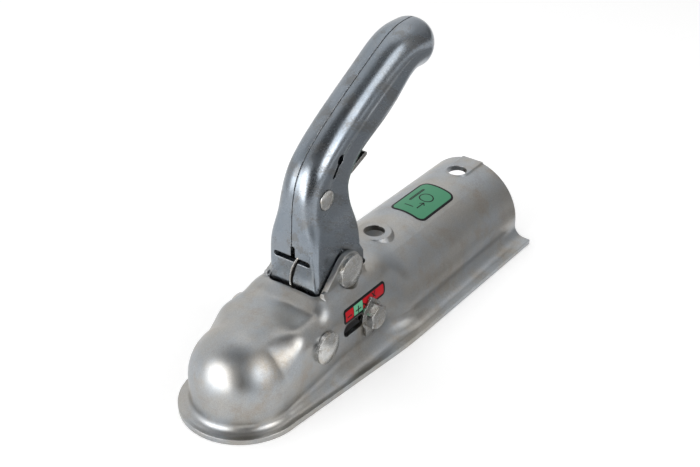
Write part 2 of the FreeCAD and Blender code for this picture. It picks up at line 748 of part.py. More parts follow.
def trigger():
    """Safety catch: boss, lever down to its tooth, and finger tab behind the handle."""
    boss = cylinder_y(catch_x, catch_z, catch_boss_r, -catch_half, catch_half - catch_spring_room)
    tooth_z = pivot_z + catch_disc_r + catch_gap
    lever = [(catch_x - catch_web_half * 2, catch_z, 0),
             (catch_x - catch_web_half * 3.2, tooth_z + catch_knee, catch_knee_r),
             (pivot_x + 1, tooth_z, 1), (pivot_x + 1 + catch_tooth, tooth_z, 1),
             (catch_x + catch_web_half * 2, catch_z, 0)]
    rise = radians(catch_tab_rise_deg)
    out = V(-cos(rise), 0, sin(rise))
    down = V(out.z, 0, -out.x) * catch_tab_thick
    root = V(waist_back[0] - catch_tab_out, 0, waist_back[1] + catch_tab_up)
    tip = root + out * catch_tab_length
    root_below = root + down
    tip_below = tip + down
    tab = [(root.x, root.z, 0), (tip.x, tip.z, tab_corner_r),
           (tip_below.x, tip_below.z, tab_corner_r), (root_below.x, root_below.z, 0)]
    arm = [(catch_x - 2, catch_z - catch_arm_half, 0), (catch_x - 2, catch_z + catch_arm_half, 0),
           (root_below.x - 3, root_below.z + 1, 0), (root.x - 3, root.z, 0)]
    whole = boss.fuse([plate_xz(lever, -catch_web_half, catch_web_half),
                       plate_xz(arm, -catch_web_half, catch_web_half),
                       plate_xz(tab, -catch_tab_half, catch_tab_half)])
    return whole.cut(cylinder_y(catch_x, catch_z, catch_bore, -beyond, beyond))


def trigger_spring():
    start = V(catch_x, catch_half - catch_spring_room + 2 * catch_spring_wire_r, catch_z)
    end = V(catch_x, catch_half - catch_spring_wire_r, catch_z)
    return coil(catch_rivet_r + 3 * catch_spring_wire_r, catch_spring_wire_r, catch_spring_turns, start, end)


def catch_plate():
    """Fixed disc on the pivot with the notch that the catch drops into when closed."""
    disc = cylinder_y(pivot_x, pivot_z, catch_disc_r, -catch_disc_half, catch_disc_half)
    turn = radians(catch_notch_deg)
    notch_x = pivot_x + catch_disc_r * cos(turn)
    notch_z = pivot_z + catch_disc_r * sin(turn)
    disc = disc.cut(cylinder_y(notch_x, notch_z, 3 * catch_disc_half / 2, -beyond, beyond))
    return disc.cut(cylinder_y(pivot_x, pivot_z, pivot_rivet_r, -beyond, beyond))


def catch_spacers():
    outer = pivot_rivet_r + spacer_wall
    inner = cheek_inner - bush_step - side_gap
    spacer = tube_y(pivot_x, pivot_z, outer, pivot_rivet_r, catch_disc_half, inner)
    return both_sides(spacer)


# Ball cup and its pivot

def ball_cup():
    """Cup behind the ball: concave face, pivot boss, and arm that the slider presses."""
    cup = plate_xz(cup_corners, -cup_half, cup_half)
    cup = cup.common(Part.makeSphere(ball_r + 4 * sheet, V(0, 0, 0)).fuse(
        cylinder_y(cup_rivet_x, cup_rivet_z, cup_boss_r, -cup_half, cup_half)))
    boss = cylinder_y(cup_rivet_x, cup_rivet_z, cup_boss_r, -cup_half, cup_half)
    arm = plate_xz(cup_arm_corners, -cup_arm_half, cup_arm_half)
    socket = Part.makeSphere(ball_r + cup_gap, V(0, 0, 0))
    whole = cup.fuse([boss, arm]).cut(socket)
    whole = turned(whole, cup_rivet_x, cup_rivet_z, cup_turn_deg).cut(socket)
    return whole.cut(cylinder_y(cup_rivet_x, cup_rivet_z, cup_bore, -beyond, beyond))


def cup_rivet():
    return rivet(cup_rivet_x, cup_rivet_z, cup_rivet_r, block_half, cup_head_r, cup_head_h)


def cup_spacers():
    outer = cup_rivet_r + spacer_wall
    return both_sides(tube_y(cup_rivet_x, cup_rivet_z, outer, cup_rivet_r, cup_half + side_gap, wall_inner))


def cup_spring():
    wound_r = cup_rivet_r + spacer_wall + 2 * cup_spring_wire_r
    start = V(cup_rivet_x, -cup_half - 2 * cup_spring_wire_r, cup_rivet_z)
    end = V(cup_rivet_x, start.y - cup_spring_length + 2 * cup_spring_wire_r, cup_rivet_z)
    return coil(wound_r, cup_spring_wire_r, cup_spring_turns, start, end)


# Slider

def push_block():
    body = plate_xz(push_corners, -push_half, push_half)
    rear = push_corners[0][0]
    body = body.fuse(cylinder_x(spring_z, spigot_r, rear - spigot_length, rear))
    return body.cut(cylinder_y(open_bolt_x, slot_z, sleeve_r, -beyond, beyond))


def bolt_sleeve():
    inner_wall = wall_inner - sleeve_gap
    return tube_y(open_bolt_x, slot_z, sleeve_r, sleeve_bore, -inner_wall, inner_wall)


def indicator_bolt():
    shank = cylinder_y(open_bolt_x, slot_z, bolt_r, -head_y - nut_height - bolt_end_proud, head_y)
    top = head_y + hex_height
    head = chamfered(hexagon_y(open_bolt_x, slot_z, head_y, top), open_bolt_x, slot_z, top, 1)
    return shank.fuse(head)


def lock_nut():
    face = -head_y - nut_height
    nut = chamfered(hexagon_y(open_bolt_x, slot_z, face, -head_y), open_bolt_x, slot_z, face, -1)
    return nut.cut(cylinder_y(open_bolt_x, slot_z, bolt_r, -beyond, beyond))


def plain_washer():
    return tube_y(open_bolt_x, slot_z, washer_r, bolt_r, -head_y, -washer_y)


def pointer_washer():
    """Round washer with a pointer above and a tab below that follows the wall."""
    washer = cylinder_y(open_bolt_x, slot_z, washer_r, washer_y, head_y)
    away = acos(washer_r / pointer_reach)
    across = washer_r * sin(away)
    up = washer_r * cos(away)
    tip = [(open_bolt_x, slot_z, 0), (open_bolt_x - across, slot_z + up, 0),
           (open_bolt_x, slot_z + pointer_reach, pointer_tip_r), (open_bolt_x + across, slot_z + up, 0)]
    tab_x = open_bolt_x + pointer_tab_shift
    tab = [(tab_x - pointer_tab_half, slot_z, 0), (tab_x + pointer_tab_half, slot_z, 0),
           (tab_x + pointer_tab_half, slot_z - pointer_tab, pointer_tip_r),
           (tab_x - pointer_tab_half, slot_z - pointer_tab, pointer_tip_r)]
    washer = washer.fuse([plate_xz(tip, washer_y, head_y), plate_xz(tab, washer_y, head_y)])
    return washer.cut(cylinder_y(open_bolt_x, slot_z, bolt_r, -beyond, beyond))


def closing_spring():
    start = V(push_corners[0][0] - closing_wire_r, 0, spring_z)
    end = V(bracket_x + closing_wire_r, 0, spring_z)
    return coil(closing_coil_r, closing_wire_r, closing_turns, start, end)


def spring_bracket(body):
    """Bulkhead behind the spring, fitted to the inside of the sheet."""
    plate = block(bracket_x - sheet, bracket_x, -tube_r, tube_r, bracket_low, beyond).cut(body)
    middle = V(bracket_x - sheet / 2, 0, spring_z)
    inner = [solid for solid in plate.Solids if solid.isInside(middle, 0.01, False)][0]
    return inner.cut(cylinder_x(spring_z, spigot_r, bracket_x - beyond, bracket_x))


def spring_stud():
    return cylinder_x(spring_z, spigot_r, bracket_x - sheet, bracket_x + stud_length)


# Films

def indicator_label():
    """Film beside the slot, over the flat of the wall and the shoulder above it."""
    section = section_at(block_end_x)
    under = side_pieces(section, 0.0, beyond)[:2]
    over = [list(reversed(piece)) for piece in reversed(side_pieces(section, -label_thick, beyond)[:2])]
    ring = under + [straight(under[-1][-1], over[0][0])] + over + [straight(over[-1][-1], under[0][0])]
    strip = ring_face(placed(ring, lambda y, z: V(indicator_rear_x, y, z)))
    strip = strip.extrude(V(indicator_front_x - indicator_rear_x, 0, 0))
    outline = [(indicator_front_x, indicator_low, label_corner_r),
               (indicator_front_x, indicator_high, label_corner_r),
               (indicator_rear_x, indicator_high, label_corner_r),
               (indicator_rear_x, indicator_low, label_corner_r)]
    return strip.common(plate_xz(outline, 0, beyond))


def notice_label():
    """Film on the tube, a little to one side of its top."""
    film = cylinder_x(tube_z, tube_r + label_thick, notice_rear_x, notice_front_x)
    film = film.cut(cylinder_x(tube_z, tube_r, notice_rear_x - 1, notice_front_x + 1))
    half = tube_r * sin(radians(notice_half_deg))
    outline = [(notice_front_x, half, notice_corner_r), (notice_front_x, -half, notice_corner_r),
               (notice_rear_x, -half, notice_corner_r), (notice_rear_x, half, notice_corner_r)]
    window = plate_xy(outline, tube_z, tube_z + beyond)
    window.rotate(V(0, 0, tube_z), V(1, 0, 0), -notice_shift_deg)
    return film.common(window)


def all_parts():
    body = housing()
    return {
        "housing": body,
        "pivot_rivet": rivet(pivot_x, pivot_z, pivot_rivet_r, ear_outer, pivot_head_r, pivot_head_h),
        "cup_rivet": cup_rivet(),
        "catch_plate": catch_plate(),
        "catch_spacers": catch_spacers(),
        "cup_spacers": cup_spacers(),
        "spring_bracket": spring_bracket(body),
        "spring_stud": spring_stud(),
        "indicator_label": indicator_label(),
        "notice_label": notice_label(),
        "handle_shell": handle_shell(),
        "pivot_bushes": pivot_bushes(),
        "trigger_rivet": trigger_rivet(),
        "trigger_spring": trigger_spring(),
        "trigger": trigger(),
        "ball_cup": ball_cup(),
        "cup_spring": cup_spring(),
        "push_block": push_block(),
        "indicator_bolt": indicator_bolt(),
        "pointer_washer": pointer_washer(),
        "plain_washer": plain_washer(),
        "lock_nut": lock_nut(),
        "bolt_sleeve": bolt_sleeve(),
        "closing_spring": closing_spring()}


if __name__ == "__main__":
    os.makedirs("parts", exist_ok=True)
    for name, shape in all_parts().items():
        print(name, shape.isValid(), len(shape.Solids), round(shape.Volume, 1), [round(v, 1) for v in
              (shape.BoundBox.XMin, shape.BoundBox.XMax, shape.BoundBox.YMin, shape.BoundBox.YMax,
               shape.BoundBox.ZMin, shape.BoundBox.ZMax)])
        shape.exportStep(f"parts/{name}.step")
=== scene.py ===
from math import cos, pi, radians, sin

import bpy
from bpy.props import FloatProperty, FloatVectorProperty, PointerProperty
from bpy.types import NodeSocket, Operator, Panel, PropertyGroup
from mathutils import Matrix, Vector


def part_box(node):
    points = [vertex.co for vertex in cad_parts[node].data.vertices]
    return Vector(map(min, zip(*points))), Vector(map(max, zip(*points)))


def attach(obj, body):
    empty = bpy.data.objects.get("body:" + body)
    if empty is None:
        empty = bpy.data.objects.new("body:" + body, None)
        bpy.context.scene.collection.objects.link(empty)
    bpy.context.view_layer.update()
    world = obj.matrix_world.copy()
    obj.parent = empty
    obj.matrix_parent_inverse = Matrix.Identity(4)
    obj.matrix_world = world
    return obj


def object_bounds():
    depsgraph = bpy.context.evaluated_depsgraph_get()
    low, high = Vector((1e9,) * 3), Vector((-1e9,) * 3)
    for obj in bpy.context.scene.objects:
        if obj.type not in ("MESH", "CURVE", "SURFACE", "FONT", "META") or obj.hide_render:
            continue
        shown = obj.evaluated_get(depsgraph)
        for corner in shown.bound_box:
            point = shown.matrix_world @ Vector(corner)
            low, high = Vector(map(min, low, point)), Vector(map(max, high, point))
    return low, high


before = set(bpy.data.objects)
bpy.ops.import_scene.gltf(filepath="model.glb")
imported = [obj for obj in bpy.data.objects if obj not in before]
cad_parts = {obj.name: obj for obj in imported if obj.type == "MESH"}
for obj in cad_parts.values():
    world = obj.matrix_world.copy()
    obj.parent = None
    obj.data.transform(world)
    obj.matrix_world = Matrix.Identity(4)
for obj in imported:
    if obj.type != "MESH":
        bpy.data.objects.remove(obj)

bl_info = {
    "name": "Trailer Coupling Head",
    "version": (1, 0, 0),
    "blender": (4, 5, 0),
    "location": "View3D > Sidebar > Coupling",
    "description": "Dresses the coupling head with plating, films and threads, on a floor in soft light",
    "category": "Object",
}

cad_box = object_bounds()
mm = 0.001


# Properties that a user would change

def colour(name, description, value):
    return FloatVectorProperty(name=name, description=description, default=value, size=3, min=0.0, max=1.0,
                               subtype="COLOR")


def length(name, description, value):
    return FloatProperty(name=name, description=description, default=value, min=0.0, unit="LENGTH",
                         precision=5)


def share(name, description, value):
    return FloatProperty(name=name, description=description, default=value, min=0.0, max=1.0,
                         subtype="FACTOR")


def angle(name, description, value):
    return FloatProperty(name=name, description=description, default=radians(value), subtype="ANGLE")


class StageSettings(PropertyGroup):
    floor_colour: colour("Floor", "Colour of the floor", (0.9, 0.9, 0.9))
    floor_width: length("Floor width", "Side of the square floor", 6.0)
    floor_glow: share("Floor glow", "Light of the floor's own, away from the head", 0.3)
    lamp_distance: length("Lamp distance", "Distance of the lamps from the head", 1.0)
    lamp_level: FloatProperty(name="Lamp level", description="Power of one lamp in watts",
                              default=2.4, min=0.0)
    room_level: share("Room level", "Brightness of the room as the lamps' fill", 0.5)
    wall_level: share("Wall level", "Brightness of the room's walls in reflections", 0.36)
    softbox_level: FloatProperty(name="Softbox level", description="Brightness of the softboxes",
                                 default=5.0, min=0.0)
    flag_colour: colour("Flag", "Colour of the card beside the head", (0.42, 0.42, 0.42))
    flag_gap: length("Flag gap", "Distance of the card from the head", 8 * mm)
    flag_width: length("Flag width", "Width of the card", 500 * mm)
    flag_reach: length("Flag reach", "How far the card reaches past the rear of the head", 300 * mm)
    flag_short: length("Flag front", "How far behind the nose the card begins", 105 * mm)
    camera_place: FloatVectorProperty(name="Camera", description="Place of the camera", size=3,
                                      default=(0.3667, 0.3360, 0.3909), subtype="TRANSLATION",
                                      unit="LENGTH")
    camera_azimuth: angle("Azimuth", "Turn of the camera around the head", 126.084)
    camera_elevation: angle("Elevation", "Height of the camera above the horizon", 31.672)
    camera_roll: angle("Roll", "Turn of the camera about its own axis", 0.149)
    camera_lens: FloatProperty(name="Lens", description="Focal length", default=61.815, unit="CAMERA")


class HousingSettings(PropertyGroup):
    plate: colour("Plating", "Zinc of the pressing", (0.40, 0.39, 0.37))
    cool: colour("Cool patches", "Bluish patches in the plating", (0.37, 0.39, 0.41))
    warm: colour("Warm patches", "Brownish patches in the plating", (0.36, 0.335, 0.30))
    roughness: share("Roughness", "Roughness of the pressing", 0.35)
    edge_radius: length("Edge radius", "Rounding of the sheet's edges", 0.7 * mm)
    cloud: length("Patch size", "Size of the tinted patches", 28 * mm)
    stain: colour("Stain", "Brown stains on the plating", (0.25, 0.225, 0.195))
    scratch: colour("Scratch", "Bright scratches", (0.55, 0.55, 0.54))
    rubbed: colour("Rubbed edge", "Zinc where the edges are rubbed", (0.62, 0.61, 0.59))


class HandleSettings(PropertyGroup):
    plate: colour("Plating", "Zinc of the handle", (0.265, 0.295, 0.33))
    cool: colour("Cool patches", "Bluish patches in the plating", (0.235, 0.268, 0.305))
    warm: colour("Warm patches", "Greyer patches in the plating", (0.255, 0.275, 0.295))
    tarnish: colour("Tarnish", "Brown flecks on the handle", (0.175, 0.165, 0.15))
    roughness: share("Roughness", "Roughness of the handle", 0.25)
    edge_radius: length("Edge radius", "Rounding of the sheet's edges", 0.6 * mm)
    cloud: length("Patch size", "Size of the tinted patches", 24 * mm)
    scratch: colour("Scratch", "Bright scratches", (0.5, 0.52, 0.55))
    rubbed: colour("Rubbed edge", "Zinc where the edges are rubbed", (0.6, 0.6, 0.6))
    lean: angle("Lean", "Turn about Y that lays the brown flecks along the handle", 32.0)
    fold_radius: length("Fold radius", "Radius of the bright folded edge between the flaps", 0.65 * mm)


class FastenerSettings(PropertyGroup):
    plate: colour("Plating", "Zinc of the rivets and the bolt", (0.50, 0.50, 0.49))
    roughness: share("Roughness", "Roughness of the rivets", 0.27)
    edge_radius: length("Edge radius", "Rounding of the edges", 0.35 * mm)
    pit: colour("Pits", "Dark pits in the zinc", (0.18, 0.165, 0.15))
    rubbed: colour("Rubbed edge", "Zinc where the edges are rubbed", (0.7, 0.7, 0.69))
    thread_pitch: length("Thread pitch", "Pitch of the bolt's thread", 1.25 * mm)
    thread_depth: length("Thread depth", "Depth of the bolt's thread", 0.35 * mm)
    nut_insert: colour("Nut insert", "Plastic ring in the lock nut", (0.12, 0.20, 0.42))


class FilmSettings(PropertyGroup):
    red: colour("Red", "Fields that mean worn", (0.54, 0.010, 0.018))
    mint: colour("Mint", "Field that means good", (0.17, 0.50, 0.30))
    green: colour("Green", "Film on the tube", (0.085, 0.285, 0.165))
    black: colour("Black", "Borders and signs", (0.008, 0.009, 0.010))
    border: length("Border", "Width of the black borders", 1.4 * mm)
    stroke: length("Stroke", "Width of the drawn lines", 0.8 * mm)
    tube_radius: length("Tube radius", "Outside radius of the half-tube", 34 * mm)
    rub: colour("Rubbed spots", "Greyed spots of the print", (0.35, 0.34, 0.32))
    gloss: share("Gloss", "Mirror share of the film", 0.12)
    roughness: share("Roughness", "Roughness of the film", 0.40)


class MechanismSettings(PropertyGroup):
    steel: colour("Dark steel", "Oiled steel of the slider and the disc", (0.13, 0.125, 0.12))
    casting: colour("Casting", "Greased iron of the ball cup", (0.10, 0.095, 0.09))
    wire: colour("Wire", "Spring wire", (0.22, 0.21, 0.20))
    roughness: share("Roughness", "Roughness of the oiled steel", 0.38)


# Short ways to lay out shader nodes

def put(tree, kind, feeds=None, **settings):
    """Adds a node. Each feed is a value or another node's socket, by the input's name or number."""
    node = tree.nodes.new("ShaderNode" + kind)
    for name, value in settings.items():
        setattr(node, name, value)
    for name, value in (feeds or {}).items():
        if isinstance(value, NodeSocket):
            tree.links.new(value, node.inputs[name])
        else:
            node.inputs[name].default_value = value
    return node


def calc(tree, operation, *values):
    return put(tree, "Math", dict(enumerate(values)), operation=operation).outputs[0]


def spread(tree, value, low, high, bottom=0.0, top=1.0):
    feeds = {"Value": value, "From Min": low, "From Max": high, "To Min": bottom, "To Max": top}
    return put(tree, "MapRange", feeds, interpolation_type="SMOOTHSTEP").outputs[0]


def mixed(tree, amount, one, other):
    """Colour between two colours."""
    return put(tree, "Mix", {0: amount, 6: one, 7: other}, data_type="RGBA").outputs[2]


def noise(tree, where, scale, detail=3.0, roughness=0.55):
    feeds = {"Vector": where, "Scale": scale, "Detail": detail, "Roughness": roughness}
    return put(tree, "TexNoise", feeds).outputs[0]


def stretched(tree, where, turn_y, scale):
    """Coordinates turned about Y and then stretched."""
    turned = put(tree, "Mapping", {"Vector": where, "Rotation": (0, turn_y, 0)})
    return put(tree, "Mapping", {"Vector": turned.outputs[0], "Scale": scale}).outputs[0]


def shader_group(name, inputs, outputs):
    """Empty shader group with named sockets, its inputs and its outputs."""
    tree = bpy.data.node_groups.new(name, "ShaderNodeTree")
    kinds = {float: "NodeSocketFloat", tuple: "NodeSocketVector", list: "NodeSocketColor"}
    for title, value in inputs.items():
        socket = tree.interface.new_socket(title, in_out="INPUT", socket_type=kinds[type(value)])
        socket.default_value = tuple(value) if isinstance(value, list) else value
    for title, kind in outputs.items():
        tree.interface.new_socket(title, in_out="OUTPUT", socket_type=kinds[kind])
    return tree, tree.nodes.new("NodeGroupInput").outputs, tree.nodes.new("NodeGroupOutput").inputs


def use_group(tree, name, **feeds):
    node = put(tree, "Group", node_tree=bpy.data.node_groups[name])
    for title, value in feeds.items():
        socket = node.inputs[title.replace("_", " ")]
        if isinstance(value, NodeSocket):
            tree.links.new(value, socket)
        else:
            socket.default_value = value
    return node.outputs


# Shared effects

def make_plating_clouds():
    """Patches of three tints with fine speckle."""
    grey = [0.5, 0.5, 0.5, 1.0]
    tree, given, out = shader_group(
        "plating clouds",
        {"Coordinates": (0.0, 0.0, 0.0), "Base": grey, "Cool": grey, "Warm": grey, "Patch size": 0.03,
         "Speckle size": 0.0006, "Speckle": 0.1},
        {"Colour": list, "Cloud": float})
    per_patch = calc(tree, "DIVIDE", 1.0, given["Patch size"])
    shifted = put(tree, "Mapping", {"Vector": given["Coordinates"], "Location": (3.1, 1.7, 0.4)}).outputs[0]
    cloud = noise(tree, given["Coordinates"], per_patch, 5.0, 0.6)
    other = noise(tree, shifted, calc(tree, "MULTIPLY", per_patch, 1.7), 6.0, 0.65)
    tint = mixed(tree, spread(tree, cloud, 0.36, 0.62), given["Base"], given["Cool"])
    tint = mixed(tree, spread(tree, other, 0.46, 0.70), tint, given["Warm"])
    speckle = noise(tree, given["Coordinates"], calc(tree, "DIVIDE", 1.0, given["Speckle size"]), 2.0, 0.7)
    strength = calc(tree, "MULTIPLY", given["Speckle"], spread(tree, speckle, 0.3, 0.7, -1.0, 1.0))
    light = put(tree, "Mix", {0: 1.0, 6: tint}, data_type="RGBA", blend_type="MULTIPLY")
    tree.links.new(calc(tree, "ADD", 1.0, strength), light.inputs[7])
    tree.links.new(light.outputs[2], out["Colour"])
    tree.links.new(cloud, out["Cloud"])


def make_tarnish():
    """Flecks that gather in patches."""
    tree, given, out = shader_group(
        "tarnish", {"Coordinates": (0.0, 0.0, 0.0), "Fleck size": 0.002, "Patch size": 0.02, "Cover": 0.5},
        {"Mask": float})
    gathered = noise(tree, given["Coordinates"], calc(tree, "DIVIDE", 1.0, given["Patch size"]), 2.0, 0.5)
    fleck = noise(tree, given["Coordinates"], calc(tree, "DIVIDE", 1.0, given["Fleck size"]), 4.0, 0.7)
    threshold = calc(tree, "SUBTRACT", 0.85, calc(tree, "MULTIPLY", given["Cover"], 0.6))
    both = calc(tree, "ADD", calc(tree, "MULTIPLY", gathered, 0.6), calc(tree, "MULTIPLY", fleck, 0.4))
    high = calc(tree, "ADD", threshold, 0.05)
    mask = put(tree, "MapRange", {"Value": both, "From Min": threshold, "From Max": high}).outputs[0]
    tree.links.new(mask, out["Mask"])


def make_grain():
    """Height of the sheet's fine grain over the long soft waves of the pressing."""
    tree, given, out = shader_group(
        "pressed grain",
        {"Coordinates": (0.0, 0.0, 0.0), "Grain size": 0.0005, "Grain": 0.3, "Wave size": 0.02,
         "Wave": 0.5},
        {"Height": float})
    fine = noise(tree, given["Coordinates"], calc(tree, "DIVIDE", 1.0, given["Grain size"]), 3.0, 0.6)
    wave = noise(tree, given["Coordinates"], calc(tree, "DIVIDE", 1.0, given["Wave size"]), 1.0, 0.4)
    soft = calc(tree, "MULTIPLY", wave, given["Wave"])
    tree.links.new(calc(tree, "MULTIPLY_ADD", fine, given["Grain"], soft), out["Height"])


def make_scratches():
    """Thin straight marks in two directions."""
    tree, given, out = shader_group(
        "fine scratches", {"Coordinates": (0.0, 0.0, 0.0), "Spacing": 0.002, "Amount": 0.5},
        {"Mask": float})
    per_mark = calc(tree, "DIVIDE", 1.0, given["Spacing"])
    thin, drawn_out = 0.012, (0.05, 1.0, 1.0)
    marks = []
    for turn, place in ((0.5, 0.0), (-0.9, 5.0)):
        feeds = {"Vector": given["Coordinates"], "Rotation": (turn, turn, turn / 2)}
        turned = put(tree, "Mapping", feeds).outputs[0]
        feeds = {"Vector": turned, "Location": (place, 0, 0), "Scale": drawn_out}
        line = noise(tree, put(tree, "Mapping", feeds).outputs[0], per_mark, 2.0, 0.6)
        off_line = calc(tree, "ABSOLUTE", calc(tree, "SUBTRACT", line, 0.5))
        marks.append(spread(tree, off_line, 0.0, thin, 1.0, 0.0))
    gathered = noise(tree, given["Coordinates"], calc(tree, "MULTIPLY", per_mark, 0.13), 2.0, 0.5)
    mask = calc(tree, "MULTIPLY", calc(tree, "MAXIMUM", *marks), spread(tree, gathered, 0.45, 0.7))
    tree.links.new(calc(tree, "MULTIPLY", mask, given["Amount"]), out["Mask"])


def make_rubbed_edges():
    """Rounded normal along sharp edges, and a mask of where the edges are rubbed."""
    tree, given, out = shader_group(
        "rubbed edges", {"Coordinates": (0.0, 0.0, 0.0), "Radius": 0.0005},
        {"Normal": tuple, "Mask": float})
    break_size = 2.5 * mm
    rounded = put(tree, "Bevel", {"Radius": given["Radius"]}, samples=6).outputs[0]
    flat = put(tree, "NewGeometry").outputs["Normal"]
    agree = put(tree, "VectorMath", {0: rounded, 1: flat}, operation="DOT_PRODUCT").outputs["Value"]
    broken = noise(tree, given["Coordinates"], 1 / break_size, 3.0, 0.6)
    edge = spread(tree, calc(tree, "SUBTRACT", 1.0, agree), 0.02, 0.2)
    tree.links.new(rounded, out["Normal"])
    tree.links.new(calc(tree, "MULTIPLY", edge, spread(tree, broken, 0.3, 0.6)), out["Mask"])


def make_rounded_patch():
    """Mask of a rounded rectangle in a flat pattern, 1 inside it."""
    tree, given, out = shader_group(
        "rounded patch",
        {"Along": 0.0, "Up": 0.0, "Centre along": 0.0, "Centre up": 0.0, "Half along": 0.001,
         "Half up": 0.001, "Corner": 0.0, "Turn": 0.0, "Blur": 0.00006},
        {"Mask": float})
    along = calc(tree, "SUBTRACT", given["Along"], given["Centre along"])
    up = calc(tree, "SUBTRACT", given["Up"], given["Centre up"])
    flat = put(tree, "CombineXYZ", {0: along, 1: up}).outputs[0]
    turned = put(tree, "VectorRotate", {"Vector": flat, "Axis": (0, 0, 1), "Angle": given["Turn"]})
    parts = put(tree, "SeparateXYZ", {0: turned.outputs[0]}).outputs
    gaps = []
    for part, half in ((parts[0], given["Half along"]), (parts[1], given["Half up"])):
        inner = calc(tree, "SUBTRACT", half, given["Corner"])
        gaps.append(calc(tree, "SUBTRACT", calc(tree, "ABSOLUTE", part), inner))
    outer = put(tree, "CombineXYZ", {i: calc(tree, "MAXIMUM", gap, 0.0) for i, gap in enumerate(gaps)})
    reach = put(tree, "VectorMath", {0: outer.outputs[0]}, operation="LENGTH").outputs["Value"]
    inside = calc(tree, "MINIMUM", calc(tree, "MAXIMUM", *gaps), 0.0)
    distance = calc(tree, "SUBTRACT", calc(tree, "ADD", reach, inside), given["Corner"])
    mask = calc(tree, "SUBTRACT", 0.5, calc(tree, "DIVIDE", distance, given["Blur"]))
    tree.links.new(put(tree, "Clamp", {0: mask}).outputs[0], out["Mask"])


def make_shared_effects():
    for make in (make_plating_clouds, make_tarnish, make_grain, make_scratches, make_rubbed_edges,
                 make_rounded_patch):
        make()


# Materials

def new_material(name):
    """Empty material: its tree, its Principled shader and the object's own coordinates."""
    if "rounded patch" not in bpy.data.node_groups:
        make_shared_effects()
    material = bpy.data.materials.new(name)
    material.use_nodes = True
    tree = material.node_tree
    shader = tree.nodes["Principled BSDF"]
    where = put(tree, "TexCoord").outputs["Object"]
    return material, tree, shader, where


def rgba(value):
    return (*value, 1.0)


def tinted(tree, under, *layers):
    """Lays colours, each (mask, strength, colour), over a colour."""
    for mask, strength, tint in layers:
        under = mixed(tree, calc(tree, "MULTIPLY", mask, strength), under, rgba(tint))
    return under


def finish_metal(tree, shader, colour_out, rough_out, height, normal, depth):
    shader.inputs["Metallic"].default_value = 1.0
    bump = put(tree, "Bump", {"Height": height, "Normal": normal, "Distance": depth, "Strength": 1.0})
    tree.links.new(colour_out, shader.inputs["Base Color"])
    tree.links.new(rough_out, shader.inputs["Roughness"])
    tree.links.new(bump.outputs[0], shader.inputs["Normal"])


def pressed_zinc(settings):
    """Satin zinc of the pressing, with tinted patches, stains and bright edges."""
    material, tree, shader, where = new_material("pressed_zinc")
    base, cool, warm = rgba(settings.plate), rgba(settings.cool), rgba(settings.warm)
    clouds = use_group(tree, "plating clouds", Coordinates=where, Base=base, Cool=cool, Warm=warm,
                       Patch_size=settings.cloud, Speckle_size=0.5 * mm, Speckle=0.11)
    stain = use_group(tree, "tarnish", Coordinates=where, Fleck_size=1.6 * mm, Patch_size=20 * mm,
                      Cover=0.50)
    marks = use_group(tree, "fine scratches", Coordinates=where, Spacing=2.2 * mm, Amount=0.7)
    edges = use_group(tree, "rubbed edges", Coordinates=where, Radius=settings.edge_radius)
    grain = use_group(tree, "pressed grain", Coordinates=where, Grain_size=0.45 * mm, Grain=0.14,
                      Wave_size=22 * mm, Wave=6.0)
    tint = tinted(tree, clouds["Colour"], (stain["Mask"], 0.14, settings.stain),
                  (marks["Mask"], 0.25, settings.scratch), (edges["Mask"], 0.5, settings.rubbed))
    rough = spread(tree, clouds["Cloud"], 0.3, 0.7, settings.roughness - 0.03, settings.roughness + 0.06)
    rough = calc(tree, "MULTIPLY_ADD", stain["Mask"], 0.06, rough)
    finish_metal(tree, shader, tint, rough, grain["Height"], edges["Normal"], 0.10 * mm)
    return material


def handle_zinc(settings):
    """Glossier bluish zinc of the handle, with brown flecks drawn out along it."""
    material, tree, shader, where = new_material("handle_zinc")
    base, cool, warm = rgba(settings.plate), rgba(settings.cool), rgba(settings.warm)
    along = stretched(tree, where, settings.lean, (0.42, 1.0, 1.0))
    clouds = use_group(tree, "plating clouds", Coordinates=along, Base=base, Cool=cool, Warm=warm,
                       Patch_size=settings.cloud, Speckle_size=0.5 * mm, Speckle=0.09)
    drawn = stretched(tree, where, settings.lean, (0.22, 1.0, 1.0))
    flecks = use_group(tree, "tarnish", Coordinates=drawn, Fleck_size=0.8 * mm, Patch_size=9 * mm,
                       Cover=0.53)
    marks = use_group(tree, "fine scratches", Coordinates=where, Spacing=1.6 * mm, Amount=0.8)
    edges = use_group(tree, "rubbed edges", Coordinates=where, Radius=settings.edge_radius)
    grain = use_group(tree, "pressed grain", Coordinates=where, Grain_size=0.45 * mm, Grain=0.07,
                      Wave_size=14 * mm, Wave=2.5)
    tint = tinted(tree, clouds["Colour"], (flecks["Mask"], 0.5, settings.tarnish),
                  (marks["Mask"], 0.25, settings.scratch), (edges["Mask"], 0.5, settings.rubbed))
    rough = spread(tree, clouds["Cloud"], 0.3, 0.7, settings.roughness - 0.03, settings.roughness + 0.05)
    rough = calc(tree, "MULTIPLY_ADD", flecks["Mask"], 0.06, rough)
    height = calc(tree, "MULTIPLY_ADD", flecks["Mask"], 0.03, grain["Height"])
    finish_metal(tree, shader, tint, rough, height, edges["Normal"], 0.10 * mm)
    return material


